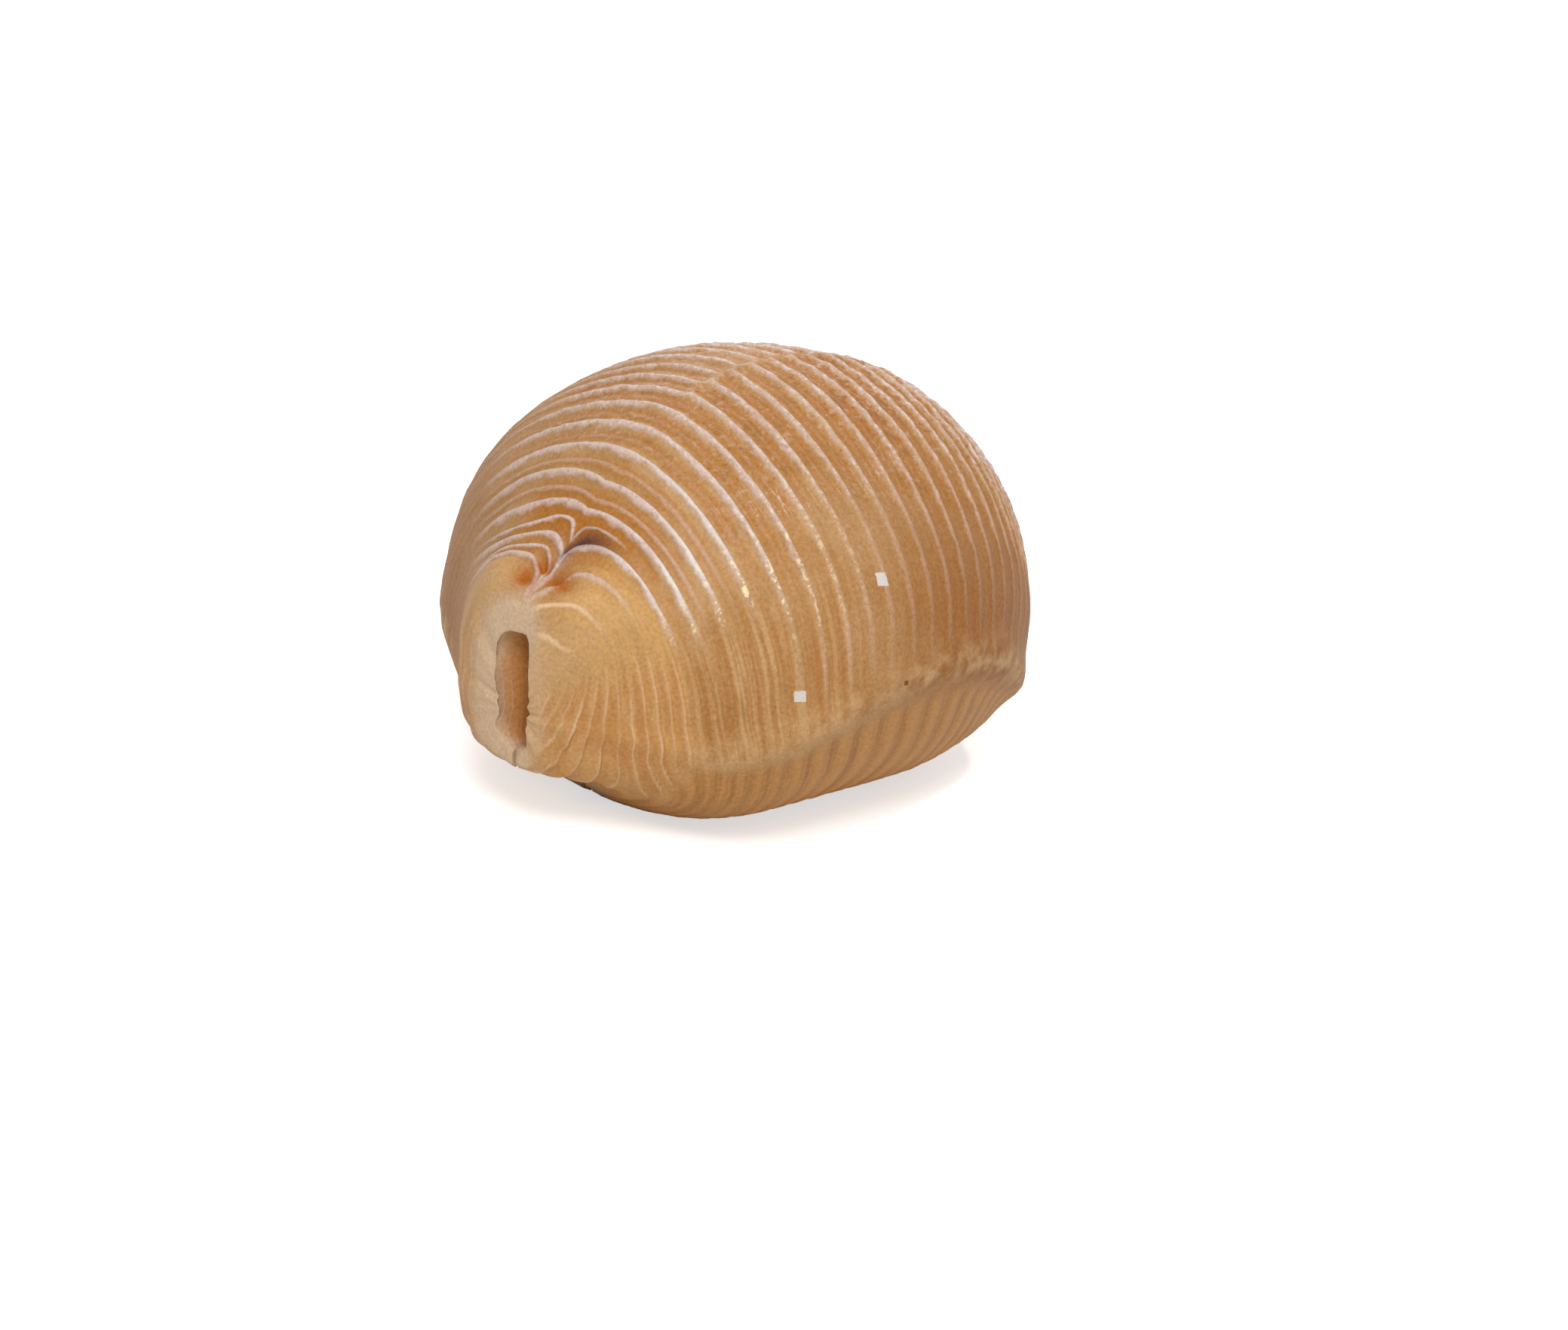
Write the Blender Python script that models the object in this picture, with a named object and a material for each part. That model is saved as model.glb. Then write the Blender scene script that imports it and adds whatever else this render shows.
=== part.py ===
"""Ribbed cowrie shell: one hollow, open-ended shell that lies on its toothed base.

The form is a loft. Each section is a closed ring in a plane that fans out from one end to
the other: ring angle 0 is the rim of the hind canal (-X) and pi is the rim of the front
canal (+X). Every rib of the shell runs along one such ring, over the back and round under
the base to the aperture. The turn angle goes round a ring from the aperture (0) to the
line along the back (pi), on the near side (-Y, outer lip) and on the far side (+Y) alike.
"""
import math

import bmesh
import bpy
from mathutils import Vector

MM = 0.001
OBJECT_NAME = "cowrie_shell"

# Profile of the back, in the plane of symmetry
BACK_CENTRE = 1.15 * MM
BACK_HALF_LENGTH = 9.56 * MM
BACK_HIND_HEIGHT = 7.1 * MM
BACK_FRONT_HEIGHT = 4.89 * MM
BACK_RISE = 5.9 * MM
BACK_ROUNDNESS = 1.357
BACK_SKEW = 0.032

# Profile of the base, which turns up at both ends
BASE_CENTRE = 0.29 * MM
BASE_HALF_LENGTH = 6.84 * MM
BASE_HIND_LIFT = 1.9 * MM
BASE_FRONT_LIFT = 1.32 * MM
BASE_FLATNESS = 6.74
BASE_WEAR = 0.18 * MM

# Produced ends, where both canals reach past the body
HIND_FLARE_BACK = 1.26 * MM
FRONT_FLARE_BACK = 0.59 * MM
FLARE_BASE = 2.39 * MM
FLARE_SPREAD = 0.25

# Width of the sections
HIND_HALF_WIDTH = 1.41 * MM
FRONT_HALF_WIDTH = 1.18 * MM
BODY_HALF_WIDTH = 5.54 * MM
WIDTH_ROUNDNESS = 0.844
WIDTH_SKEW = 0.106
FAR_SIDE_WIDENING = 0.147
HIND_LIP_PINCH = 0.51
PINCH_SPREAD = 0.2
HIND_OFFSET = 0.21 * MM
OFFSET_SPREAD = 0.5

# Shape of each section
WIDEST_AT_MIDDLE = 0.526
WIDEST_DROP_AT_ENDS = 0.196
BASE_SQUARENESS = 2.4
HIND_BASE_SQUARENESS_EXTRA = 1.0
HIND_BASE_RING = 0.14
BACK_SQUARENESS = 1.74
END_SQUARENESS_EXTRA = 0.6
END_SQUARENESS_SPREAD = 0.3
SQUARENESS_BLEND = 8.0
MARGIN_TURN = math.pi / 2 - 0.12
MARGIN_HEIGHT = 0.3 * MM
MARGIN_WIDTH = 0.12
FAR_MARGIN_SHARE = 0.5
DIMPLE_DEPTH = 0.49 * MM
FRONT_DIMPLE_SHARE = 0.5
DIMPLE_RING = 0.1
DIMPLE_LENGTH = 0.35
DIMPLE_WIDTH = 0.35

# Ribs: one crest and one valley each
FIRST_RIB = 0.12
RIB_SPACING = 0.09
RIB_EXTRA_SPACING = 0.028
WIDE_SPACING_RING = 0.66
WIDE_SPACING_SPREAD = 0.22
RIB_HEIGHT_LIP = 0.04 * MM
RIB_HEIGHT_BASE = 0.18 * MM
RIB_HEIGHT_FLANK = 0.07 * MM
RIB_HEIGHT_BACK = 0.16 * MM
RIB_END_FADE = 0.25
LIP_TURNS = (0.4, 0.8)
BASE_TURNS = (1.2, 1.4)
BACK_TURNS = (2.1, 2.6)

# Aperture, its teeth, the wall and the rounded rims of the canals
APERTURE_WIDTH = 1.5 * MM
APERTURE_END_WIDTH = 0.1 * MM
APERTURE_TAPER = 2.0
APERTURE_BEND = 0.5 * MM
BEND_SHARPNESS = 6
TOOTH_LENGTH = 0.17 * MM
TOOTH_FADE = (0.3, 0.7)
WALL = 0.9 * MM
MARGIN_WALL_EXTRA = 1.0 * MM
MARGIN_WALL_WIDTH = 0.4
LIP_WALL_EXTRA = 0.5 * MM
LIP_WALL_WIDTH = 0.5
CANAL_WALL = 0.7 * MM
CANAL_ROOF_EXTRA = 0.55 * MM
CANAL_WALL_LEAN = 0.42 * MM
CANAL_WALL_SPREAD = 0.3
NEAR_BULGE = 0.45 * MM
NEAR_BULGE_TURN = 0.8
NEAR_BULGE_WIDTH = 0.85
FAR_BULGE = 0.45 * MM
FAR_BULGE_TURN = 1.1
FAR_BULGE_WIDTH = 0.6
SPIRE_FILL = 0.88
SPIRE_START = (0.0, 0.2)
SPIRE_END = (0.8, 1.4)
RIM_LENGTH = 0.11
RIM_FLAT_SHARE = 0.35
RIM_STEPS = 4

# Facets round one section
OUTER_FACETS = 46
INNER_FACETS = 18
LIP_FACETS = 2


def bump(value, centre, width):
    return math.exp(-(((value - centre) / width) ** 2))


def smooth_step(value, low, high):
    share = min(1.0, max(0.0, (value - low) / (high - low)))
    return share * share * (3.0 - 2.0 * share)


def section_frame(ring):
    """Base point, up direction and height of the section plane at one ring angle."""
    along, across = math.cos(ring), abs(math.sin(ring))
    front = (1.0 - along) / 2.0
    hind_flare = bump(ring, 0.0, FLARE_SPREAD)
    front_flare = bump(ring, math.pi, FLARE_SPREAD)
    back_x = BACK_CENTRE - BACK_HALF_LENGTH * along
    back_x += FRONT_FLARE_BACK * front_flare - HIND_FLARE_BACK * hind_flare
    base_x = BASE_CENTRE - BASE_HALF_LENGTH * along
    base_x += FLARE_BASE * (front_flare - hind_flare)
    back_z = BACK_HIND_HEIGHT * (1.0 - front) + BACK_FRONT_HEIGHT * front
    back_z += BACK_RISE * across ** BACK_ROUNDNESS * (1.0 + BACK_SKEW * along)
    lift = BASE_HIND_LIFT * (1.0 - front) + BASE_FRONT_LIFT * front
    base_z = lift * abs(along) ** BASE_FLATNESS
    base = Vector((base_x, 0.0, base_z))
    rise = Vector((back_x, 0.0, back_z)) - base
    return base, rise.normalized(), rise.length


def half_width(ring, side):
    """Half width of a section on the near side (side 1) or the far side (side -1)."""
    along, across = math.cos(ring), abs(math.sin(ring))
    front = (1.0 - along) / 2.0
    width = HIND_HALF_WIDTH * (1.0 - front) + FRONT_HALF_WIDTH * front
    width += BODY_HALF_WIDTH * across ** WIDTH_ROUNDNESS * (1.0 + WIDTH_SKEW * along)
    if side < 0:
        return width * (1.0 + FAR_SIDE_WIDENING * across)
    return width * (1.0 - HIND_LIP_PINCH * bump(ring, 0.0, PINCH_SPREAD))


def skin_radius(ring, turn, side, height):
    """Distance of the smooth outer skin from the section's widest level."""
    across = abs(math.sin(ring))
    centre = height * (WIDEST_AT_MIDDLE - WIDEST_DROP_AT_ENDS * math.cos(ring) ** 2)
    down, out = math.cos(turn), math.sin(turn)
    reach = centre if down > 0.0 else height - centre
    blend = 1.0 / (1.0 + math.exp(-SQUARENESS_BLEND * down))
    end = bump(ring, 0.0, END_SQUARENESS_SPREAD) + bump(ring, math.pi, END_SQUARENESS_SPREAD)
    back = BACK_SQUARENESS + END_SQUARENESS_EXTRA * end
    hind = bump(ring, HIND_BASE_RING, END_SQUARENESS_SPREAD)
    base = BASE_SQUARENESS + HIND_BASE_SQUARENESS_EXTRA * hind
    power = base * blend + back * (1.0 - blend)
    radius = (out / half_width(ring, side)) ** power + (abs(down) / reach) ** power
    radius = radius ** (-1.0 / power)
    margin = MARGIN_HEIGHT * min(1.0, 2.0 * across)
    margin *= 1.0 if side > 0 else FAR_MARGIN_SHARE
    radius += margin * bump(turn, MARGIN_TURN, MARGIN_WIDTH)
    dimple = bump(ring, DIMPLE_RING, DIMPLE_LENGTH)
    dimple += FRONT_DIMPLE_SHARE * bump(math.pi - ring, DIMPLE_RING, DIMPLE_LENGTH)
    radius -= DIMPLE_DEPTH * dimple * bump(turn, math.pi, DIMPLE_WIDTH)
    return radius, centre


def wall_thickness(ring, turn, side):
    """Wall of the shell: thick at the margin and the lips, thin at the canals."""
    body = WALL + MARGIN_WALL_EXTRA * bump(turn, MARGIN_TURN, MARGIN_WALL_WIDTH)
    body += LIP_WALL_EXTRA * bump(turn, 0.0, LIP_WALL_WIDTH)
    lean = CANAL_WALL_LEAN * (1.0 - ring / math.pi)
    canal = CANAL_WALL - lean * side * math.sin(turn)
    canal += CANAL_ROOF_EXTRA * max(0.0, -math.cos(turn))
    if side > 0:
        canal += NEAR_BULGE * bump(turn, NEAR_BULGE_TURN, NEAR_BULGE_WIDTH)
    else:
        canal += FAR_BULGE * bump(turn, FAR_BULGE_TURN, FAR_BULGE_WIDTH)
    end = bump(ring, 0.0, CANAL_WALL_SPREAD) + bump(ring, math.pi, CANAL_WALL_SPREAD)
    return canal * end + body * (1.0 - end)


def rib_height(ring, turn):
    """Height of a rib: strong on the back and the base, low on the flank and the lips."""
    height = RIB_HEIGHT_LIP
    height += (RIB_HEIGHT_BASE - RIB_HEIGHT_LIP) * smooth_step(turn, *LIP_TURNS)
    height += (RIB_HEIGHT_FLANK - RIB_HEIGHT_BASE) * smooth_step(turn, *BASE_TURNS)
    height += (RIB_HEIGHT_BACK - RIB_HEIGHT_FLANK) * smooth_step(turn, *BACK_TURNS)
    return height * smooth_step(min(ring, math.pi - ring), 0.0, RIB_END_FADE)


def rim_opening(ring):
    """Share of the wall that is open between the skins, from the rim inwards."""
    step = min(ring, math.pi - ring) / RIM_LENGTH
    if step >= 1.0:
        return 1.0
    return RIM_FLAT_SHARE + (1.0 - RIM_FLAT_SHARE) * math.sqrt(1.0 - (1.0 - step) ** 2)


def spire_fill(ring, side):
    """Share of the far half of the hollow that is solid, where the spire is grown over."""
    if side > 0:
        return 0.0
    return SPIRE_FILL * smooth_step(ring, *SPIRE_START) * (1.0 - smooth_step(ring, *SPIRE_END))


def shell_point(ring, crest, share, side, depth):
    """Point of the shell. Share runs from the lip (0) to the back line (1) on one side,
    depth from the outer skin (0) to the inner one (1), crest is 1 on a rib's top."""
    base, up, height = section_frame(ring)
    across = math.sin(ring)
    gape = APERTURE_END_WIDTH + (APERTURE_WIDTH - APERTURE_END_WIDTH) * across ** APERTURE_TAPER
    lip = gape / 2.0 - TOOTH_LENGTH * crest * smooth_step(across, *TOOTH_FADE)
    _, centre = skin_radius(ring, 0.0, side, height)
    edge = centre - depth * wall_thickness(ring, 0.0, side)
    lip_turn = math.asin(lip / edge)
    turn = lip_turn + (math.pi - lip_turn) * share
    radius, centre = skin_radius(ring, turn, side, height)
    wall = wall_thickness(ring, turn, side)
    radius -= 0.5 * wall * (1.0 - rim_opening(ring) * (1.0 - 2.0 * depth))
    radius -= (1.0 - depth) * (1.0 - crest) * rib_height(ring, turn)
    bend = APERTURE_BEND * across ** 2 * math.cos(ring) * math.cos(turn / 2.0) ** BEND_SHARPNESS
    slide = HIND_OFFSET * bump(ring, 0.0, OFFSET_SPREAD)
    point = base + up * (centre - radius * math.cos(turn))
    across_section = side * radius * math.sin(turn) * (1.0 - depth * spire_fill(ring, side))
    point.y = bend - slide - across_section
    point.z = max(0.0, point.z - BASE_WEAR)
    return point


def ring_stations():
    """Ring angle and rib crest of each row: rim, valley, crest, valley, ..., rim."""
    crests = []
    ring = FIRST_RIB
    while ring < math.pi - FIRST_RIB:
        crests.append(ring)
        ring += RIB_SPACING + RIB_EXTRA_SPACING * bump(ring, WIDE_SPACING_RING, WIDE_SPACING_SPREAD)
    first, last = crests[0] - RIB_SPACING / 2.0, crests[-1] + RIB_SPACING / 2.0
    rows = [(first * (step / RIM_STEPS) ** 2, 0.0) for step in range(RIM_STEPS)]
    for index, crest in enumerate(crests):
        before = first if index == 0 else (crests[index - 1] + crest) / 2.0
        rows += [(before, 0.0), (crest, 1.0)]
    end = math.pi - last
    rows += [(math.pi - end * (step / RIM_STEPS) ** 2, 0.0) for step in range(RIM_STEPS, -1, -1)]
    return rows


def section_columns():
    """Side, share and depth round one section: near lip, over the back, far lip, inside."""
    half_out, half_in = OUTER_FACETS // 2, INNER_FACETS // 2
    columns = [(1, step / half_out, 0.0) for step in range(half_out + 1)]
    columns += [(-1, 1.0 - step / half_out, 0.0) for step in range(1, half_out + 1)]
    columns += [(-1, 0.0, step / LIP_FACETS) for step in range(1, LIP_FACETS)]
    columns += [(-1, step / half_in, 1.0) for step in range(half_in + 1)]
    columns += [(1, 1.0 - step / half_in, 1.0) for step in range(1, half_in + 1)]
    columns += [(1, 0.0, 1.0 - step / LIP_FACETS) for step in range(1, LIP_FACETS + 1)]
    return columns


def make_shell_mesh():
    rows, columns = ring_stations(), section_columns()
    bm = bmesh.new()
    bmesh.ops.create_grid(bm, x_segments=len(rows) - 1, y_segments=len(columns) - 1, size=1.0)
    for vert in bm.verts:
        row = round((vert.co.x + 1.0) / 2.0 * (len(rows) - 1))
        column = round((vert.co.y + 1.0) / 2.0 * (len(columns) - 1))
        ring, crest = rows[row]
        side, share, depth = columns[column]
        vert.co = shell_point(ring, crest, share, side, depth)
    bmesh.ops.remove_doubles(bm, verts=bm.verts, dist=0.001 * MM)
    rims = [edge for edge in bm.edges if edge.is_boundary]
    bmesh.ops.holes_fill(bm, edges=rims, sides=0)
    bmesh.ops.triangulate(bm, faces=bm.faces, quad_method="BEAUTY", ngon_method="BEAUTY")
    bmesh.ops.recalc_face_normals(bm, faces=bm.faces)
    stand_on_centre(bm)
    mesh = bpy.data.meshes.new("shell")
    bm.to_mesh(mesh)
    bm.free()
    return mesh


def stand_on_centre(bm):
    """Move the shell so that the middle of its bounding box is over the origin."""
    for axis in (0, 1):
        places = [vert.co[axis] for vert in bm.verts]
        middle = (min(places) + max(places)) / 2.0
        for vert in bm.verts:
            vert.co[axis] -= middle


def shell_material():
    """Tan aragonite with the soft shine of an unpolished shell."""
    material = bpy.data.materials.new("shell_aragonite")
    material.use_nodes = True
    shader = material.node_tree.nodes["Principled BSDF"]
    shader.inputs["Base Color"].default_value = (0.50, 0.29, 0.13, 1.0)
    shader.inputs["Roughness"].default_value = 0.45
    shader.inputs["Metallic"].default_value = 0.0
    return material


def main():
    for old in list(bpy.data.objects):
        bpy.data.objects.remove(old, do_unlink=True)
    collection = bpy.data.collections.new(OBJECT_NAME)
    bpy.context.scene.collection.children.link(collection)
    shell = bpy.data.objects.new("shell", make_shell_mesh())
    collection.objects.link(shell)
    shell.data.materials.append(shell_material())
    shell.data.shade_smooth()
    shell.data.set_sharp_from_angle(angle=math.radians(40.0))


main()
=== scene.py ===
import math

import bmesh
import bpy
import numpy as np
from mathutils import Matrix, Vector, noise


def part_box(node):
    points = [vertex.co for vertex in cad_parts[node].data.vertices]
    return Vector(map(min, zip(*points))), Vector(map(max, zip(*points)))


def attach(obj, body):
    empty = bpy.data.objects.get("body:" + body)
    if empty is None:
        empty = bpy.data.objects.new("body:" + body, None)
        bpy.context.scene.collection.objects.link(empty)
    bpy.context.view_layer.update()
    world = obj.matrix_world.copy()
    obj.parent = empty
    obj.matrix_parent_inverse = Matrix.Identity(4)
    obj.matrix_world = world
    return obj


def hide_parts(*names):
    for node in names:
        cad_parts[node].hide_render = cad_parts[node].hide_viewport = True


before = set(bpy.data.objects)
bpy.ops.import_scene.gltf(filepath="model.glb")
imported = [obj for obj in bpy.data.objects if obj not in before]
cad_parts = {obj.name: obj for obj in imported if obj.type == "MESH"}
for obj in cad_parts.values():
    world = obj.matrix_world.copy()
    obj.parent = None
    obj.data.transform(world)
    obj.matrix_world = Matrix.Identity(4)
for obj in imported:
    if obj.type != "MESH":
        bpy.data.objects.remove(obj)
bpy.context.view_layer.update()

mm = 0.001
pi = math.pi


def bell(value, middle, width):
    return np.exp(-(((value - middle) / width) ** 2))


def hump(value, height, middle, width):
    return height * bell(value, middle, width)


def ease(value, start, end):
    # 0 at the start and 1 at the end, whichever of the two is larger
    share = np.clip((value - start) / (end - start), 0.0, 1.0)
    return share * share * (3.0 - 2.0 * share)


def ramp(value, height, start, end):
    return height * ease(value, start, end)


def linearColour(hexText):
    parts = [int(hexText[i:i + 2], 16) / 255.0 for i in (1, 3, 5)]
    return tuple(p / 12.92 if p <= 0.04045 else ((p + 0.055) / 1.055) ** 2.4 for p in parts) + (1.0,)


# Ring angle 0 is the rim of the hind canal, pi the rim of the front one; a rib follows one ring.
# Turn goes round a ring, from the aperture (0) to the line along the back (pi), on both sides.
# Side is 1 on the near flank, with the outer lip, and -1 on the far one. Lengths are millimetres.

form = {
    "backCentre": 1.15, "backHalf": 9.56, "backHindZ": 7.1, "backFrontZ": 4.89,     # outline of the back
    "backRise": 5.9, "backRoundness": 1.357, "backSkew": 0.032,
    "baseCentre": 0.29, "baseHalf": 6.84, "baseHindLift": 1.9, "baseFrontLift": 1.32,    # of the base
    "baseFlatness": 6.74, "baseWear": 0.18,
    "hindFlare": 1.26, "frontFlare": 0.59, "baseFlare": 2.39, "flareSpread": 0.25,    # upturned ends
    "hindWidth": 1.41, "frontWidth": 1.18, "bodyWidth": 5.54, "widthRoundness": 0.844,    # half widths
    "widthSkew": 0.106, "farWidening": 0.147, "lipPinch": 0.51, "pinchSpread": 0.2,
    "hindOffset": 0.21, "offsetSpread": 0.5,
    "widest": 0.526, "widestDrop": 0.196, "baseSquareness": 2.4, "backSquareness": 1.74,
    "hindBaseSquareness": 1.0, "hindBaseRing": 0.14, "endSquareness": 0.6, "endSpread": 0.3,
    "squarenessBlend": 8.0,                           # how sharply base turns into back
    "marginTurn": pi / 2 - 0.12, "marginHeight": 0.3, "marginWidth": 0.12, "marginFade": 0.5,
    "farMargin": 0.5,
    "dimpleDepth": 0.49, "frontDimple": 0.5, "dimpleRing": 0.1, "dimpleLength": 0.35,
    "dimpleWidth": 0.35,
}

wall = {
    "body": 0.9, "margin": 1.0, "marginSpread": 0.4, "lip": 0.5, "lipSpread": 0.5,
    "canal": 0.7, "canalRoof": 0.55, "canalLean": 0.42,
    "nearBulge": (0.45, 0.8, 0.85), "farBulge": (0.45, 1.1, 0.6),      # height, turn, spread
    "rimLength": 0.11, "funnel": 1.6,                 # the inside rounds off over a longer way
    "aperture": 1.5, "apertureEnd": 0.1, "apertureTaper": 2.0,
    "apertureBend": 0.5, "bendSharpness": 6,
    "tooth": 0.17, "toothFade": (0.3, 0.7), "lipTurn": 0.1,
    "spireFill": 0.88, "spireStart": (0.0, 0.2), "spireEnd": (1.4, 0.8),    # stands for the hidden coil
}


def sectionFrame(ring):
    along, across = np.cos(ring), np.abs(np.sin(ring))
    front = (1.0 - along) / 2.0
    hind = bell(ring, 0.0, form["flareSpread"])
    fore = bell(ring, pi, form["flareSpread"])
    backX = form["backCentre"] - form["backHalf"] * along
    backX = backX + form["frontFlare"] * fore - form["hindFlare"] * hind
    baseX = form["baseCentre"] - form["baseHalf"] * along + form["baseFlare"] * (fore - hind)
    rise = form["backRise"] * across ** form["backRoundness"] * (1.0 + form["backSkew"] * along)
    backZ = form["backHindZ"] * (1.0 - front) + form["backFrontZ"] * front + rise
    lift = form["baseHindLift"] * (1.0 - front) + form["baseFrontLift"] * front
    baseZ = lift * np.abs(along) ** form["baseFlatness"]
    height = np.hypot(backX - baseX, backZ - baseZ)
    return baseX, baseZ, (backX - baseX) / height, (backZ - baseZ) / height, height


def halfWidth(ring, side):
    along, across = np.cos(ring), np.abs(np.sin(ring))
    front = (1.0 - along) / 2.0
    body = form["bodyWidth"] * across ** form["widthRoundness"] * (1.0 + form["widthSkew"] * along)
    width = form["hindWidth"] * (1.0 - front) + form["frontWidth"] * front + body
    far = width * (1.0 + form["farWidening"] * across)
    near = width * (1.0 - form["lipPinch"] * bell(ring, 0.0, form["pinchSpread"]))
    return np.where(side < 0, far, near)


def bothEnds(ring):
    return bell(ring, 0.0, form["endSpread"]) + bell(ring, pi, form["endSpread"])


def skinRadius(ring, turn, side, height):
    across = np.abs(np.sin(ring))
    centre = height * (form["widest"] - form["widestDrop"] * np.cos(ring) ** 2)
    down, out = np.cos(turn), np.sin(turn)
    reach = np.where(down > 0.0, centre, height - centre)
    blend = 1.0 / (1.0 + np.exp(-form["squarenessBlend"] * down))
    back = form["backSquareness"] + form["endSquareness"] * bothEnds(ring)
    hindBase = bell(ring, form["hindBaseRing"], form["endSpread"])
    base = form["baseSquareness"] + form["hindBaseSquareness"] * hindBase
    power = base * blend + back * (1.0 - blend)
    least = 1e-9                                      # keeps the powers away from zero
    radius = (out / halfWidth(ring, side) + least) ** power + (np.abs(down) / reach + least) ** power
    radius = radius ** (-1.0 / power)
    margin = form["marginHeight"] * np.minimum(1.0, across / form["marginFade"])
    margin = margin * np.where(side > 0, 1.0, form["farMargin"])
    radius = radius + margin * bell(turn, form["marginTurn"], form["marginWidth"])
    dimple = bell(ring, form["dimpleRing"], form["dimpleLength"])
    dimple = dimple + hump(pi - ring, form["frontDimple"], form["dimpleRing"], form["dimpleLength"])
    radius = radius - form["dimpleDepth"] * dimple * bell(turn, pi, form["dimpleWidth"])
    return radius, centre


def wallThickness(ring, turn, side):
    body = wall["body"] + hump(turn, wall["margin"], form["marginTurn"], wall["marginSpread"])
    body = body + hump(turn, wall["lip"], 0.0, wall["lipSpread"])
    lean = wall["canalLean"] * (1.0 - ring / pi)
    canal = wall["canal"] - lean * side * np.sin(turn)
    canal = canal + wall["canalRoof"] * np.maximum(0.0, -np.cos(turn))
    canal = canal + np.where(side > 0, hump(turn, *wall["nearBulge"]), hump(turn, *wall["farBulge"]))
    end = bothEnds(ring)
    return canal * end + body * (1.0 - end)


# Ribs. Each is named by its label, the ring angle at which it crosses the margin; its course
# over the shell bends away from that ring in the groove behind the hind canal and on the base.

ribs = {
    "first": 0.12, "spacing": 0.09, "wider": (0.028, 0.66, 0.22),      # main ribs
    "fineHind": 0.03, "fineMiddle": 0.056, "fineChange": (0.25, 0.5),    # fine ribs on the flank
    "baseHind": 0.075, "baseMiddle": 0.11, "baseChange": (0.6, 1.0),     # ribs under the base
    "flankFirst": 1.031,                              # fine and base ribs are counted from here
    "shear": 0.37, "shearReach": 0.9,                 # forward slant of the ribs under the base
    "fanLabel": 0.165, "fanSpread": 3.6, "lipSpread": 1.6,    # shoulder ribs part from this one
    "hindFan": (0.55, 0.25), "frontFan": (2.5, 2.95),
    "fanTilt": 0.055, "tiltTurn": (2.7, 2.2), "tiltRing": (0.26, 0.12),
    "grooveBend": (0.26, 0.1), "grooveRing": (0.14, 0.3), "grooveTurn": 0.2,    # swing at the groove
    "grooveDrop": (0.65, 0.33, 0.44), "grooveFade": (0.75, 0.5),
    "farTurn": 0.12, "farBend": (0.09, 0.33, 0.15), "farClear": 0.25, "farFade": (1.2, 0.45),    # far side
    "miss": (0.45, 0.95, 1.2), "missFade": (2.2, 1.5),      # how far the flaps' ribs miss each other
}


def fanLabel(ring, below):
    spread = np.where(ring > ribs["fanLabel"], ribs["fanSpread"], ribs["lipSpread"]) * below ** 2
    return (ring + spread * ribs["fanLabel"]) / (1.0 + spread)


def ribLabel(ring, turn, side):
    below = ribs["shearReach"] * np.tanh(np.maximum(0.0, form["marginTurn"] - turn) / ribs["shearReach"])
    straight = ring - ribs["shear"] * below
    label = straight + (fanLabel(ring, below) - straight) * ease(ring, *ribs["hindFan"])
    label = label + (pi - fanLabel(pi - ring, below) - straight) * ease(ring, *ribs["frontFan"])
    tilt = ribs["fanTilt"] * np.maximum(0.0, turn - form["marginTurn"]) * ease(turn, *ribs["tiltTurn"])
    label = label - np.where(side > 0, tilt, 0.0) * ease(ring, *ribs["tiltRing"])
    fromBack = pi - turn
    bend = np.interp(ring, ribs["grooveRing"], ribs["grooveBend"])
    bend = bend * (1.0 - ramp(ring, *ribs["grooveDrop"])) * ease(ring, *ribs["grooveFade"])
    near = bend * np.exp(-fromBack / ribs["grooveTurn"])
    bulge = hump(ring, *ribs["farBend"]) * (1.0 - bell(fromBack, 0.0, ribs["farClear"]))
    far = bend * np.exp(-fromBack / ribs["farTurn"]) + bulge * ease(fromBack, *ribs["farFade"])
    return label + np.where(side > 0, near, far)


def mainSpacing(label):
    return ribs["spacing"] + hump(label, *ribs["wider"])


def fineSpacing(label):
    return ribs["fineHind"] + ramp(label, ribs["fineMiddle"] - ribs["fineHind"], *ribs["fineChange"])


def baseSpacing(label):
    return ribs["baseHind"] + ramp(label, ribs["baseMiddle"] - ribs["baseHind"], *ribs["baseChange"])


def runningCount(label, spacingOf, start):
    # number of ribs passed up to this label: a crest stands at each whole number
    angles = np.linspace(-1.0, pi + 1.0, 5000)        # a little past both rims
    count = np.concatenate([[0.0], np.cumsum(np.diff(angles) / spacingOf(angles[1:]))])
    return np.interp(label, angles, count) - np.interp(start, angles, count)


def ribCounts(ring, turn, side):
    label = ribLabel(ring, turn, side)
    # the two flaps of the mantle laid their ribs separately, so that some miss each other
    miss = ramp(ring, *ribs["miss"]) * ease(ring, *ribs["missFade"])
    main = runningCount(label, mainSpacing, ribs["first"]) + np.where(side > 0, 0.0, miss)
    fine, base = (runningCount(label, spacing, ribs["flankFirst"]) for spacing in (fineSpacing, baseSpacing))
    return main, fine, base


def aroundWhole(count):
    return np.abs(count - np.round(count))


def smoothSkin(ring, turn, side):
    baseX, baseZ, upX, upZ, height = sectionFrame(ring)
    radius, centre = skinRadius(ring, turn, side, height)
    rise = centre - radius * np.cos(turn)
    return np.stack([baseX + upX * rise, -side * radius * np.sin(turn), baseZ + upZ * rise])


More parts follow.
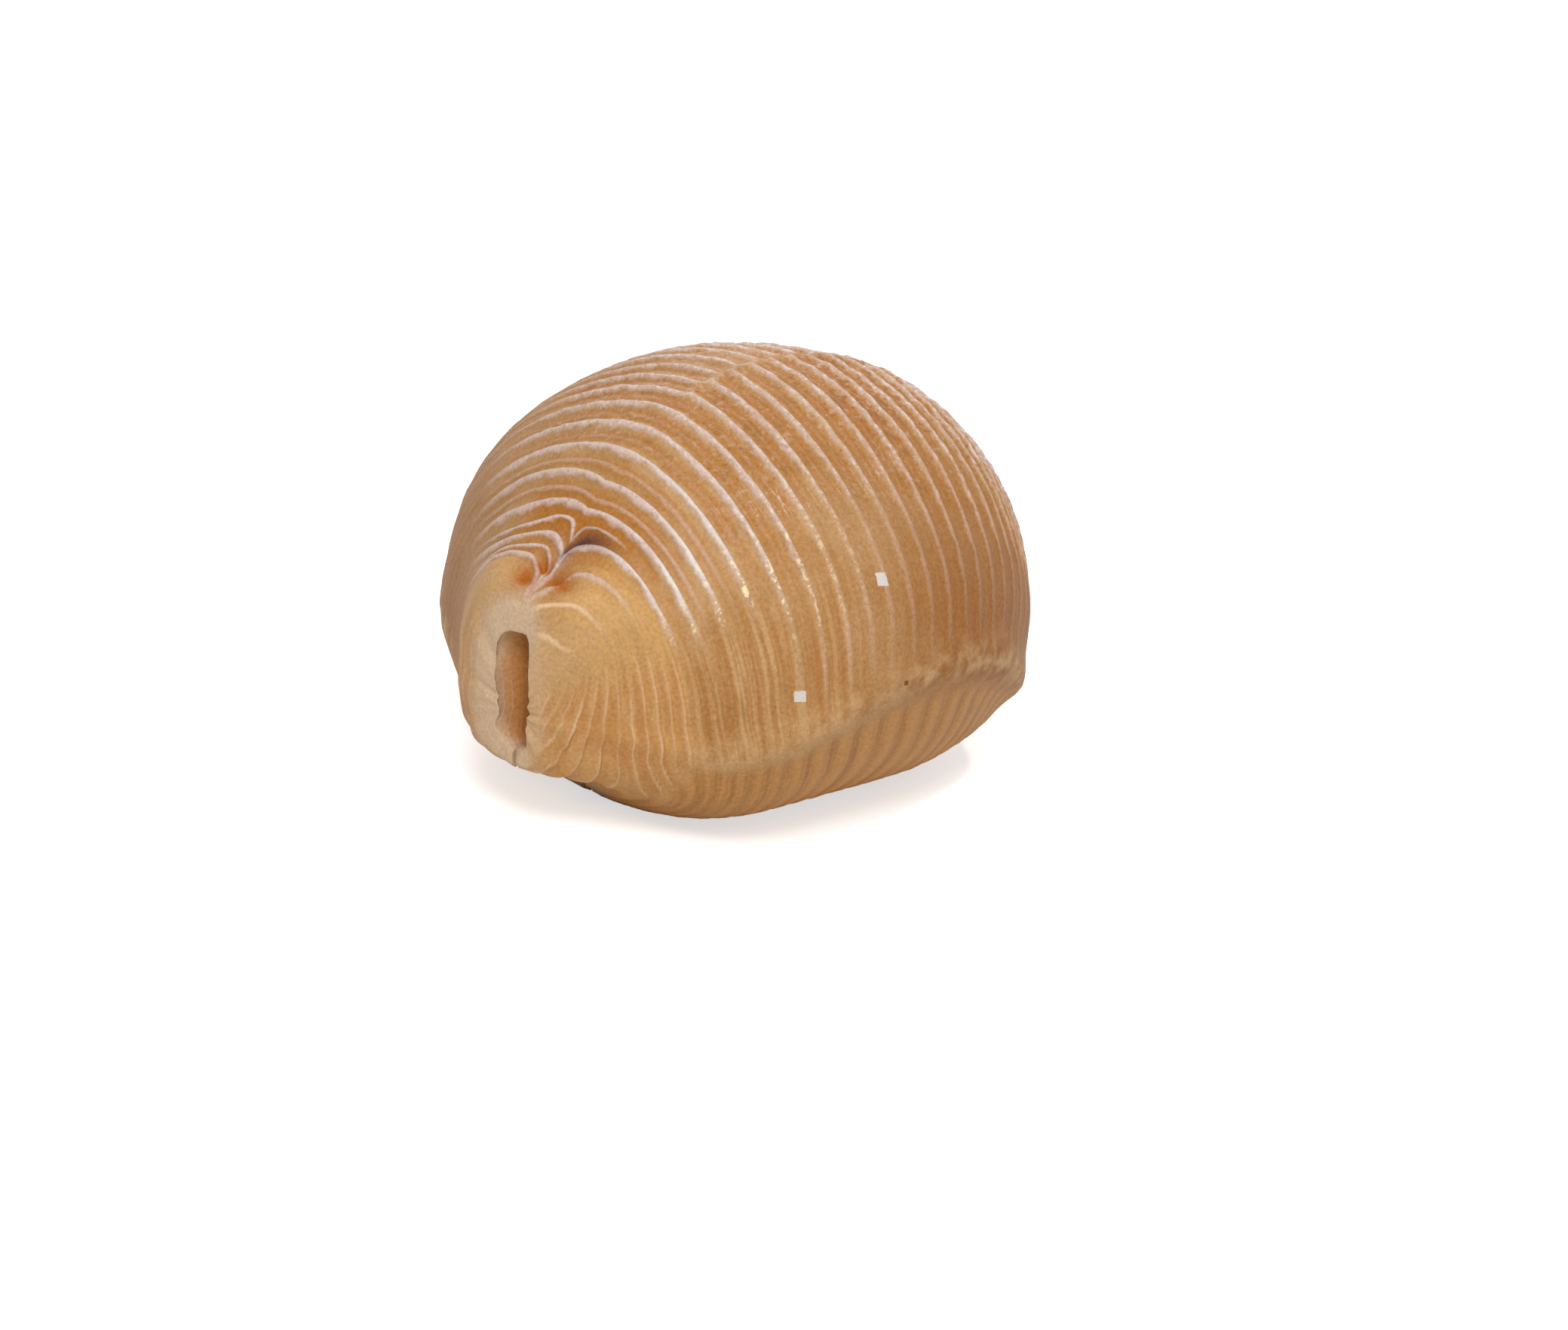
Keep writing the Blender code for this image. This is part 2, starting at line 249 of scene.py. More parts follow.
def ribPaces(ring, turn, side):
    # distance over the skin from one rib to the next, for each kind of rib
    step, least, limits = 0.002, 1e-9, (0.05, 3.0)
    lower = np.maximum(turn - step, 0.0)
    alongRing = (smoothSkin(ring + step, turn, side) - smoothSkin(ring - step, turn, side)) / (2.0 * step)
    alongTurn = (smoothSkin(ring, turn, side) - smoothSkin(ring, lower, side)) / step
    e, f, g = (alongRing ** 2).sum(0), (alongRing * alongTurn).sum(0), (alongTurn ** 2).sum(0)
    paces = []
    for before, after, here, below in zip(
            ribCounts(ring - step, turn, side), ribCounts(ring + step, turn, side),
            ribCounts(ring, turn, side), ribCounts(ring, lower, side)):
        byRing, byTurn = (after - before) / (2.0 * step), (here - below) / step
        slope = g * byRing ** 2 - 2.0 * f * byRing * byTurn + e * byTurn ** 2
        slope = np.maximum(slope / np.maximum(e * g - f * f, least), least)
        paces.append(np.clip(1.0 / np.sqrt(slope), *limits))
    return paces


# Where each kind of surface lies, by ring angle, turn, label or way from the back line.
# A pair eases in from the first to the second, or is a middle and a width; a triple has a
# height before them.
skin = {
    "foot": 2.05, "footHind": (0.45, 0.42, 0.25), "footDip": (0.25, 0.89, 0.1),    # turn at which
    "footFront": (0.35, 1.1, 1.6), "footFar": 2.0, "footLength": 0.5,              # the threads end,
    "traceRing": (0.3, 0.7, 1.0), "traceTurn": (1.5, 1.62),       # and the trace of them below it
    "firstNear": ((0.75, 0.25, 0.28), (0.25, 0.33, 0.36)), "firstFar": (0.26, 0.29),
    "threadHind": (0.02, 0.12), "threadFront": (3.05, 2.85),
    "partRing": (0.85, 0.95, 1.15), "partEnd": (2.2, 1.8), "partBack": (0.0, 0.035),    # back line
    "stemRing": (0.5, 0.13, 0.05), "stemBack": (0.0, 0.15),       # fainter above the hind canal
    "wornLabel": (0.65, 0.85, 1.15), "wornTurn": (1.95, 1.55),    # and low on the front flank
    "shortLabel": (0.435, 0.02), "shortEnd": (0.36, 0.2),         # short rib beside the groove
    "farHalf": (0.52, 0.47), "farHalfFade": (0.6, 0.5, 0.9),      # weaker ribs on the far side
    "weakLabel": (0.4, 0.5, 0.55), "weakFade": (0.7, 0.62, 0.75), "weakEnd": (1.8, 1.4),
    "shoulderNear": (0.46, 0.34), "shoulderFar": (0.3, 0.16), "shoulderTop": (3.0, 2.75),
    "shoulderBare": (0.6, 0.06, 0.08), "fanTop": (2.4, 1.9), "fanHind": (0.03, 0.06),
    "arcLabel": (0.29, 0.26), "arcTurn": (2.45, 2.75), "arcHind": (0.02, 0.05),    # above the fan
    "baseTop": (1.42, 1.28), "baseFront": (3.1, 3.0),
    "bandTop": (0.35, -0.1), "bandFoot": (1.36, 1.5), "bandFade": (0.75, 0.95, 1.15),
    "bandFront": (3.1, 2.9), "farBand": 0.4,
    "marginTurn": (1.46, 0.075), "marginHind": (0.3, 0.5), "marginFront": (3.0, 2.7),
    "hindCollar": 0.055, "collarInside": 0.05, "nearCollar": 0.45, "frontCollar": 0.05,
    "roofRing": 0.075, "roofTurn": 0.22, "lipTop": (0.6, 0.45, 0.1), "lipFront": (0.9, 0.4),
    "insideDepth": (0.04, 0.16),
    "stainLabel": (0.415, 0.022), "stainHind": (0.26, 0.3), "stainBack": (0.06, 0.2),
    "lilacLabel": (0.4, 0.035), "lilacBack": (0.0, 0.12), "lilacRing": (0.27, 0.07),
    "warmRing": (0.42, 0.14), "warmTurn": (2.5, 2.9),             # orange around the groove
    "upper": (2.2, 2.7), "backTurn": (2.0, 2.6),
    "dullLabel": (0.9, 0.75, 1.15), "dullUpper": 0.65, "dullFoot": (0.5, 2.4, 1.9),    # threads' wear
    "whiteLabel": (0.56, 0.2), "whiteTurn": (2.6, 0.45),
    # where warm glints of reflected light are painted on the near threads: a painted highlight
    "paintedGlintLabel": (0.7, 0.35), "paintedGlintTurn": (2.15, 0.35), "paintedGlintThread": (0.0, 0.3),
    "crumbTurn": (1.8, 2.8), "crumbRings": ((0.6, 0.55, 0.9), (0.4, 1.2, 1.6)),
    "slimRing": (0.25, 0.15), "slimLabel": (0.8, 0.7, 0.85),      # where the threads are slim
    # painted shade: darker low on the flanks, on the far side and at the front end, where light falls off
    "paintedShadeTurn": (2.9, 1.5), "paintedShadeRing": (0.8, 1.6), "farPaintedShade": 0.8, "frontPaintedShade": (0.7, 1.9, 2.3),
}


def threadShare(ring, turn, near, label, foot):
    # the pale threads along the main ribs
    fromBack = pi - turn
    first = np.where(near, sum(ramp(label, *rise) for rise in skin["firstNear"]),
                     ease(label, *skin["firstFar"]))
    trace = ramp(ring, *skin["traceRing"]) * ease(turn, *skin["traceTurn"])
    thread = np.maximum(ease(turn, foot, foot + skin["footLength"]), trace) * first
    thread = thread * ease(ring, *skin["threadHind"]) * ease(ring, *skin["threadFront"])
    parted = ramp(ring, *skin["partRing"]) * ease(ring, *skin["partEnd"]) * bell(fromBack, *skin["partBack"])
    stem = hump(ring, *skin["stemRing"]) * bell(fromBack, *skin["stemBack"])
    worn = near * ramp(label, *skin["wornLabel"]) * ease(turn, *skin["wornTurn"])
    return thread * (1.0 - parted) * (1.0 - stem) * (1.0 - worn)


def halfShare(ring, turn, near, label):
    # weaker ribs half way between the main ones
    fromBack = pi - turn
    short = bell(label, *skin["shortLabel"]) * ease(fromBack, *skin["shortEnd"])
    far = ease(label, *skin["farHalf"]) * (1.0 - ramp(fromBack, *skin["farHalfFade"]))
    weak = ramp(label, *skin["weakLabel"]) * (1.0 - ramp(label, *skin["weakFade"]))
    return np.maximum(np.where(near, short, far), weak * ease(ring, *skin["weakEnd"]))


def rimShare(ring, turn, near, depth):
    # the pale collar of the hind canal, its roof, the lips, and the front rim
    collar = bell(ring, 0.0, skin["hindCollar"] + skin["collarInside"] * depth)
    collar = collar * np.where(near, skin["nearCollar"], 1.0) + bell(pi - ring, 0.0, skin["frontCollar"])
    roof = bell(ring, 0.0, skin["roofRing"]) * bell(turn, pi, skin["roofTurn"])
    lips = ramp(turn, *skin["lipTop"]) * ease(ring, *skin["lipFront"])
    return np.clip(collar + roof + lips, 0.0, 1.0)


# Hollows between the rib ends beside the groove: side, ring, turn, length, width
pits = ((-1, 0.165, 2.99, 0.045, 0.1), (-1, 0.24, 3.06, 0.03, 0.07), (1, 0.21, 3.02, 0.035, 0.11))


def pitShare(ring, turn, side):
    return np.max([(side == pitSide) * bell(ring, pitRing, length) * bell(turn, pitTurn, width)
                   for pitSide, pitRing, pitTurn, length, width in pits], axis=0)


def skinZones(ring, turn, side, depth):
    # share of each kind of surface at a place, from 0 to 1
    near, fromBack = side > 0, pi - turn
    label = ribLabel(ring, turn, side)
    upper = ease(turn, *skin["upper"])
    foot = skin["foot"] + ramp(ring, *skin["footHind"]) - hump(ring, *skin["footDip"])
    foot = np.where(near, foot - ramp(ring, *skin["footFront"]), skin["footFar"])
    thread = threadShare(ring, turn, near, label, foot)
    hindPart = np.where(near, ease(ring, *skin["shoulderNear"]), ease(ring, *skin["shoulderFar"]))
    shoulder = hindPart * ease(turn, *skin["shoulderTop"]) * (1.0 - near * hump(ring, *skin["shoulderBare"]))
    bandTop, bandFoot = (foot + way for way in skin["bandTop"])
    band = ease(turn, bandTop, bandFoot) * ease(turn, *skin["bandFoot"]) * ease(ring, *skin["bandFront"])
    band = band * (1.0 - ramp(ring, *skin["bandFade"])) * np.where(near, 1.0, skin["farBand"])
    dull = ramp(label, *skin["dullLabel"]) * (1.0 - skin["dullUpper"] * upper)
    dull = dull + near * ramp(turn, *skin["dullFoot"])
    slim = bell(ring, *skin["slimRing"]) * upper + ramp(label, *skin["slimLabel"]) * (1.0 - upper)
    # painted shade, darker low on the flanks, on the far side and towards the front end
    low = ease(turn, *skin["paintedShadeTurn"]) * np.where(near, ease(ring, *skin["paintedShadeRing"]), skin["farPaintedShade"])
    within = np.minimum(ring, pi - ring) * (2.0 * depth - 1.0)
    return {
        "thread": thread, "half": halfShare(ring, turn, near, label),
        "shoulder": shoulder, "band": band * (1.0 - hindPart),
        "fan": hindPart * ease(turn, *skin["fanTop"]) * ease(ring, *skin["fanHind"]),
        "arc": near * ease(label, *skin["arcLabel"]) * ease(turn, *skin["arcTurn"]) * ease(
            ring, *skin["arcHind"]),
        "base": ease(turn, *skin["baseTop"]) * (1.0 - hindPart) * ease(ring, *skin["baseFront"]),
        "margin": bell(turn, *skin["marginTurn"]) * ease(ring, *skin["marginHind"]) * ease(
            ring, *skin["marginFront"]),
        "rim": rimShare(ring, turn, near, depth), "pit": pitShare(ring, turn, side),
        "stain": near * bell(label, *skin["stainLabel"]) * ease(ring, *skin["stainHind"]) * bell(
            fromBack, *skin["stainBack"]),
        "lilac": bell(label, *skin["lilacLabel"]) * bell(fromBack, *skin["lilacBack"]) * bell(
            ring, *skin["lilacRing"]),
        "warm": bell(ring, *skin["warmRing"]) * ease(turn, *skin["warmTurn"]),
        "dull": np.clip(dull, 0.0, 1.0), "slim": np.clip(slim, 0.0, 1.0),
        "white": near * bell(label, *skin["whiteLabel"]) * bell(turn, *skin["whiteTurn"]),
        # painted highlight: glints of reflected light on the near threads below the back
        "paintedGlint": near * bell(label, *skin["paintedGlintLabel"]) * bell(turn, *skin["paintedGlintTurn"]) * ease(
            thread, *skin["paintedGlintThread"]),
        "crumb": ease(turn, *skin["crumbTurn"]) * sum(ramp(ring, *rise) for rise in skin["crumbRings"]),
        "back": ease(turn, *skin["backTurn"]) * (1.0 - shoulder),
        # low is painted shade towards the shell's edges
        "low": np.maximum(low, near * ramp(ring, *skin["frontPaintedShade"])),
        "inside": ease(within, *skin["insideDepth"]),
        "streakRing": label, "streakTurn": turn,
    }


relief = {                                            # heights and half widths
    "thread": 0.14, "threadWidth": 0.115, "halfWidth": 0.1, "halfHeight": 0.7,
    "band": 0.025, "fan": 0.06, "fanWidth": 0.08, "fanFoot": (1.6, 1.2), "base": 0.045, "gapWidth": 0.2,
    "bead": 0.03, "crumb": 0.05, "crumbSize": 0.3, "crumbLeast": 0.3, "crumbFade": (0.05, 0.2),
    "crease": (0.12, 0.055, 0.02), "creaseTurn": (1.0, 1.7), "creaseTop": (2.95, 2.6), "farCrease": 0.8,
    "trench": (0.2, 0.27, 0.1), "trenchTurn": 0.06, "pit": 0.2,
    "rimWave": (0.04, 0.0, 0.08), "rimWaves": ((1.0, 9.0, 1.0), (0.6, 17.0, 0.0)),   # share, waves, phase
    "swell": (0.05, 0.1, 0.5), "swellWaves": (7.0, 2.0, 3.1, 1.3),
}


def reliefDepth(ring, turn, side, zones, counts, paces):
    # depth below the crests of the ribs
    (main, fine, base), (mainPace, finePace, basePace) = counts, paces
    ridge = bell(aroundWhole(main) * mainPace, 0.0, relief["threadWidth"])
    half = bell(aroundWhole(main + 0.5) * mainPace, 0.0, relief["halfWidth"])
    half = relief["halfHeight"] * zones["half"] * half
    depth = relief["thread"] * zones["thread"] * (1.0 - np.maximum(ridge, half))
    depth = depth + relief["band"] * zones["band"] * (0.5 - 0.5 * np.cos(2.0 * pi * fine))
    fan = bell(aroundWhole(fine) * finePace, 0.0, relief["fanWidth"])
    depth = depth + relief["fan"] * zones["fan"] * (1.0 - fan) * (1.0 + ease(turn, *relief["fanFoot"]))
    depth = depth + relief["fan"] * zones["arc"] * (1.0 - ridge)
    gap = bell(aroundWhole(base + 0.5) * basePace, 0.0, relief["gapWidth"])
    depth = depth + relief["base"] * zones["base"] * gap
    crease = hump(ring, *relief["crease"]) * ease(turn, *relief["creaseTurn"])
    depth = depth + crease * np.where(side > 0, ease(turn, *relief["creaseTop"]), relief["farCrease"])
    depth = depth - relief["bead"] * zones["margin"] * (0.5 + 0.5 * np.cos(2.0 * pi * main))
    depth = depth + bell(pi - turn, 0.0, relief["trenchTurn"]) * hump(ring, *relief["trench"])
    depth = depth + relief["pit"] * zones["pit"]
    byRing, byTurn, bySide, start = relief["swellWaves"]
    swell = np.sin(byRing * ring + byTurn * turn) * np.sin(bySide * turn * side + start)
    return depth + swell * ramp(np.sin(ring), *relief["swell"])


def shellPlaces(ring, share, side, depth):
    baseX, baseZ, upX, upZ, height = sectionFrame(ring)
    across = np.sin(ring)
    lipCrest = 0.5 + 0.5 * np.cos(2.0 * pi * ribCounts(ring, wall["lipTurn"] + 0.0 * ring, side)[0])
    gape = wall["apertureEnd"] + (wall["aperture"] - wall["apertureEnd"]) * across ** wall["apertureTaper"]
    lip = gape / 2.0 - wall["tooth"] * lipCrest * ease(across, *wall["toothFade"])
    rounding = wall["rimLength"] * (1.0 + wall["funnel"] * depth)
    step = np.clip(np.minimum(ring, pi - ring) / rounding, 0.0, 1.0)
    opening = np.sqrt(1.0 - (1.0 - step) ** 2)        # 0 at the rims, where the two skins meet
    inward = 0.5 * (1.0 - opening * (1.0 - 2.0 * depth))      # share of the wall between skin and place
    _, centre = skinRadius(ring, 0.0 * ring, side, height)
    lipTurn = np.arcsin(lip / (centre - inward * wallThickness(ring, 0.0 * ring, side)))
    turn = lipTurn + (pi - lipTurn) * share
    radius, centre = skinRadius(ring, turn, side, height)
    radius = radius - inward * wallThickness(ring, turn, side)
    counts, paces = ribCounts(ring, turn, side), ribPaces(ring, turn, side)
    zones = skinZones(ring, turn, side, depth)
    radius = radius - (1.0 - depth) * reliefDepth(ring, turn, side, zones, counts, paces)
    crumbs = np.array([noise.noise(Vector(place)) for place in smoothSkin(ring, turn, side).T / relief[
        "crumbSize"]])
    crumbs = crumbs * (relief["crumbLeast"] + (1.0 - relief["crumbLeast"]) * zones["crumb"])
    radius = radius + (1.0 - depth) * relief["crumb"] * crumbs * ease(across, *relief["crumbFade"])
    bend = wall["apertureBend"] * across ** 2 * np.cos(ring) * np.cos(turn / 2.0) ** wall["bendSharpness"]
    slide = hump(ring, form["hindOffset"], 0.0, form["offsetSpread"])
    rise = centre - radius * np.cos(turn)
    around = side * (pi - turn)
    wave = hump(across, *relief["rimWave"]) * sum(
        part * np.sin(waves * around + phase) for part, waves, phase in relief["rimWaves"])
    fill = wall["spireFill"] * ease(ring, *wall["spireStart"]) * ease(ring, *wall["spireEnd"])
    x = baseX + upX * rise + wave
    y = bend - slide - side * radius * np.sin(turn) * (1.0 - depth * np.where(side > 0, 0.0, fill))
    z = np.maximum(0.0, baseZ + upZ * rise - form["baseWear"])
    values = dict(zip(("mainCount", "fineCount", "baseCount", "mainPace", "finePace", "basePace"),
                      (*counts, *paces)))
    return np.stack([x, y, z], axis=-1), {**values, **zones}


mesh = {
    "rowsHind": 250, "rowsMiddle": 168, "rowsFront": 108,     # rows of the sheet for each radian
    "hindEnd": (0.35, 0.6), "middleEnd": (1.1, 1.3), "rimRows": 12,
    "outer": 78, "lip": 5, "innerStep": 3, "crowding": 0.5,   # columns crowd towards the groove
    "weld": 0.0005,
}


def ringRows():
    # rows stand closest where the ribs are finest, and crowd into the rounded rims
    angles = np.linspace(wall["rimLength"], pi - wall["rimLength"], 4000)
    perRadian = mesh["rowsHind"] + ramp(angles, mesh["rowsMiddle"] - mesh["rowsHind"], *mesh["hindEnd"])
    perRadian = perRadian + ramp(angles, mesh["rowsFront"] - mesh["rowsMiddle"], *mesh["middleEnd"])
    passed = np.concatenate([[0.0], np.cumsum(np.diff(angles) * perRadian[1:])])
    body = np.interp(np.linspace(0.0, passed[-1], int(passed[-1]) + 1), passed, angles)
    rim = wall["rimLength"] * np.linspace(0.0, 1.0, mesh["rimRows"] + 1)[:-1] ** 2
    return np.concatenate([rim, body, pi - rim[::-1]])


def sectionColumns():
    # side, share and depth: near lip, over the back, far lip, and back along the inside
    out, lip = mesh["outer"], mesh["lip"]
    shares = [i / out * (1.0 + mesh["crowding"] * (1.0 - i / out)) for i in range(out + 1)]
    columns = [(1, share, 0.0) for share in shares]
    columns += [(-1, share, 0.0) for share in shares[-2::-1]]
    columns += [(-1, 0.0, i / lip) for i in range(1, lip)]
    within = shares[::mesh["innerStep"]]
    columns += [(-1, share, 1.0) for share in within]
    columns += [(1, share, 1.0) for share in within[-2::-1]]
    columns += [(1, 0.0, 1.0 - i / lip) for i in range(1, lip + 1)]
    return np.array(columns), np.array(within)


def makeShell():
    rows = ringRows()
    columns, within = sectionColumns()
    # a flat grid is rolled up into the shell, outside and inside, and welded along its edges
    bm = bmesh.new()
    bmesh.ops.create_grid(bm, x_segments=len(rows) - 1, y_segments=len(columns) - 1, size=1.0)
    sheet = np.array([vert.co[:2] for vert in bm.verts])
    row = np.rint((sheet[:, 0] + 1.0) / 2.0 * (len(rows) - 1)).astype(int)
    column = np.rint((sheet[:, 1] + 1.0) / 2.0 * (len(columns) - 1)).astype(int)
    ring, (side, share, depth) = rows[row], columns[column].T
    shared = within[np.abs(share[:, None] - within).argmin(axis=1)]    # both skins meet at the rims
    share = np.where((row == 0) | (row == len(rows) - 1), shared, share)
    places, values = shellPlaces(ring, share, side, depth)
    own = places.min(axis=0), places.max(axis=0)
    low, high = (np.array(corner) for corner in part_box("shell"))
    print("shell modelled at", np.round(own[1] - own[0], 2), "mm, and fitted to the frame")

    def fit(place):
        return low + (place - own[0]) / (own[1] - own[0]) * (high - low)

    places = fit(places)
    layers = {name: bm.verts.layers.float.new(name) for name in values}
    for index, vert in enumerate(bm.verts):
        vert.co = places[index]
        for name, layer in layers.items():
            vert[layer] = values[name][index]
    bmesh.ops.remove_doubles(bm, verts=bm.verts, dist=mesh["weld"] * mm)
    print("open edges", sum(edge.is_boundary for edge in bm.edges))
    bmesh.ops.recalc_face_normals(bm, faces=bm.faces)
    shellMesh = bpy.data.meshes.new("ribbedShell")
    bm.to_mesh(shellMesh)
    bm.free()
    shellMesh.shade_smooth()
    shell = bpy.data.objects.new("ribbedShell", shellMesh)
    bpy.context.scene.collection.objects.link(shell)
    return shell, fit, tuple(values)


def skinPlace(ring, turn):
    # a point of the outer skin on the near side
    ring, side, depth = np.array([ring]), np.array([1]), np.array([0.0])
    share = np.array([(turn - wall["lipTurn"]) / (pi - wall["lipTurn"])])
    return shellPlaces(ring, share, side, depth)[0][0]


def addNode(tree, kind, settings=None, inputs=None):
    # an input, keyed by its name or number, is a value or another node's output
    node = tree.nodes.new(kind)
    for key, value in (settings or {}).items():
        setattr(node, key, value)
    for key, value in (inputs or {}).items():
        if isinstance(value, bpy.types.NodeSocket):
            tree.links.new(value, node.inputs[key])
        else:
            node.inputs[key].default_value = value
    return node


def newMaterial(name):
    material = bpy.data.materials.new(name)
    material.use_nodes = True
    tree = material.node_tree
    tree.nodes.clear()
    return material, tree


aragonite = {
    # low is painted shade: a dark brown laid where the light falls off towards the edges
    "ground": "#ba9060", "cloud": "#c79f72", "orange": "#af7232", "low": "#905112",
    "shoulder": "#cfa065", "band": "#cca26c", "bandGap": "#a86f38", "fan": "#e3bd95", "fanGap": "#c28b53",
    "baseRib": "#c99257", "baseGap": "#9a6c3e", "margin": "#cfa878", "rim": "#d2b494",
    "pit": "#ad5f16", "stain": "#553233", "lilac": "#a58389", "inside": "#c6834a",
    "thread": "#dac1b5", "threadDull": "#c4966a", "threadWhite": "#ebe3de", "crumb": "#ab6129",
    # the glint colour is a painted highlight, light reflected off the thread crests
    "dark": "#946536", "paintedGlint": "#ffe9b8",
    "grains": {"clouds": 1.6, "patches": 0.5, "crumbs": 0.13, "lumps": 0.15, "dust": 0.091},    # sizes
    "grainDetail": 2.0,                               # dust is coarser than the real grain, so that it shows
    "streaks": (60.0, 1.6, 1.0),                      # streaks along the ribs, per radian of ring and turn
    "speckle": 0.5, "speckFade": (1.15, 0.95),
    "roughness": 0.5, "specular": 0.14, "sheen": "#cc9460", "glaze": 0.05, "glazeRoughness": 0.1,
    "ior": 1.5, "bumpHeight": 0.02,
}

# What the pattern of the ribs is worked out from. Each row is a result, what is done, and its
# terms: numbers, or names of earlier results, grains and zones. A SMOOTHSTEP's terms are the
# value, where it starts and ends, and the least and the most that it gives.
ribCourses = (
    ("wander", "MULTIPLY_ADD", "clouds", 0.5, -0.25),
    ("shift", "MULTIPLY_ADD", "patches", 0.1, -0.05),
    ("count", "ADD", "mainCount", "shift"),
    ("halfCount", "ADD", "count", 0.5),
    ("fine", "ADD", "fineCount", "wander"),
    ("straightFine", "MULTIPLY_ADD", "wander", -0.7, "fine"),
    ("baseHalf", "ADD", "baseCount", 0.5),
    ("aroundFine", "ADD", "fine", 7.5),
    ("ribNumber", "FLOOR", "aroundFine"),
    ("uneven", "MULTIPLY_ADD", "patches", 1.1, 0.45),         # ribs swell and thin along their length
    ("slimming", "MULTIPLY_ADD", "slim", -0.28, 1.0),
    ("swelling", "MULTIPLY", "uneven", "slimming"),
    ("narrowed", "DIVIDE", "mainPace", "swelling"),
)

# Ridges fade out from their crests: result, count, pace, half width and its hard share
ridges = (
    ("threadRidge", "count", "narrowed", 0.16, 0.2),
    ("threadCore", "count", "narrowed", 0.112, 0.2),
    ("halfRidge", "halfCount", "narrowed", 0.1, 0.2),
    ("valley", "halfCount", "mainPace", 0.34, 0.3),
    ("fanRidge", "straightFine", "finePace", 0.065, 0.1),
    ("arcRidge", "count", "mainPace", 0.1, 0.1),
    ("baseGroove", "baseHalf", "basePace", 0.36, 0.0),
)

ribCrests = (
    ("strength", "MULTIPLY_ADD", "chance", 0.6, 0.4),
    ("halfThread", "MULTIPLY", "halfRidge", "half"),
    ("anyThread", "MAXIMUM", "threadRidge", "halfThread"),
    ("eroded", "MULTIPLY_ADD", "crumb", -0.08, "crumbs"),
    ("broken", "SMOOTHSTEP", "eroded", 0.22, 0.46, 0.45, 0.95),
    ("faded", "MULTIPLY_ADD", "dull", -0.25, 1.0),
    ("threadHere", "MULTIPLY", "anyThread", "thread"),
    ("threadBroken", "MULTIPLY", "threadHere", "broken"),
    ("threadCrest", "MULTIPLY", "threadBroken", "faded"),
    ("fineAway", "PINGPONG", "fine", 0.5),
    ("fineSlope", "SMOOTHSTEP", "fineAway", 0.5, 0.0, 0.0, 1.0),
    ("bandStreak", "SMOOTHSTEP", "streaks", 0.35, 0.62, 0.4, 0.9),
    ("bandRidge", "MULTIPLY", "fineSlope", "strength"),
    ("bandCrest", "MULTIPLY", "bandRidge", "bandStreak"),
    ("fanStreak", "SMOOTHSTEP", "streaks", 0.35, 0.62, 0.4, 1.0),
    ("fanUneven", "MULTIPLY", "fanRidge", "strength"),
    ("fanCrest", "MULTIPLY", "fanUneven", "fanStreak"),
    ("thinning", "MULTIPLY_ADD", "crumb", 0.25, -0.25),       # crumbs thin out
    ("sown", "ADD", "lumps", "thinning"),
    ("crumbSpot", "SMOOTHSTEP", "sown", 0.52, 0.6, 0.0, 1.0),
    ("valleyTint", "MULTIPLY_ADD", "crumb", 0.5, 0.42),
    ("cloudy", "SMOOTHSTEP", "clouds", 0.35, 0.65, 0.0, 1.0),
    ("orangePatch", "SMOOTHSTEP", "patches", 0.42, 0.66, 0.0, 1.0),
    ("darkPatch", "SMOOTHSTEP", "patches", 0.5, 0.36, 0.0, 1.0),
    ("marginPatch", "SMOOTHSTEP", "patches", 0.3, 0.7, 0.0, 1.0),
    ("whitePatch", "SMOOTHSTEP", "clouds", 0.3, 0.6, 0.0, 1.0),
    ("paleSpot", "SMOOTHSTEP", "lumps", 0.42, 0.35, 0.0, 1.0),
    ("dullSpot", "SMOOTHSTEP", "lumps", 0.6, 0.42, 0.6, 1.0),
    ("whiteSpot", "SMOOTHSTEP", "lumps", 0.48, 0.6, 0.0, 1.0),
    # spots of painted highlight along the thread cores
    ("paintedGlintSpot", "SMOOTHSTEP", "lumps", 0.5, 0.58, 0.0, 1.0),
    ("bandDip", "SMOOTHSTEP", "streaks", 0.62, 0.38, 0.0, 1.0),
    ("fanDip", "SMOOTHSTEP", "streaks", 0.65, 0.4, 0.2, 1.0),
    ("shoulderStreak", "SMOOTHSTEP", "streaks", 0.35, 0.62, 0.35, 0.85),
    ("baseStreak", "SMOOTHSTEP", "streaks", 0.35, 0.62, 0.25, 0.7),
    ("speckEdge", "MULTIPLY_ADD", "crumbs", 0.5 * mm, -0.25 * mm),
    ("bandRise", "MULTIPLY", "bandCrest", "band"),
    ("fanRise", "MULTIPLY", "fanCrest", "fan"),
    ("grainHeight", "MULTIPLY_ADD", "crumbs", 1.2, "threadCrest"),
    ("bandHeight", "MULTIPLY_ADD", "bandRise", 0.4, "grainHeight"),
    ("height", "MULTIPLY_ADD", "fanRise", 0.6, "bandHeight"),
)

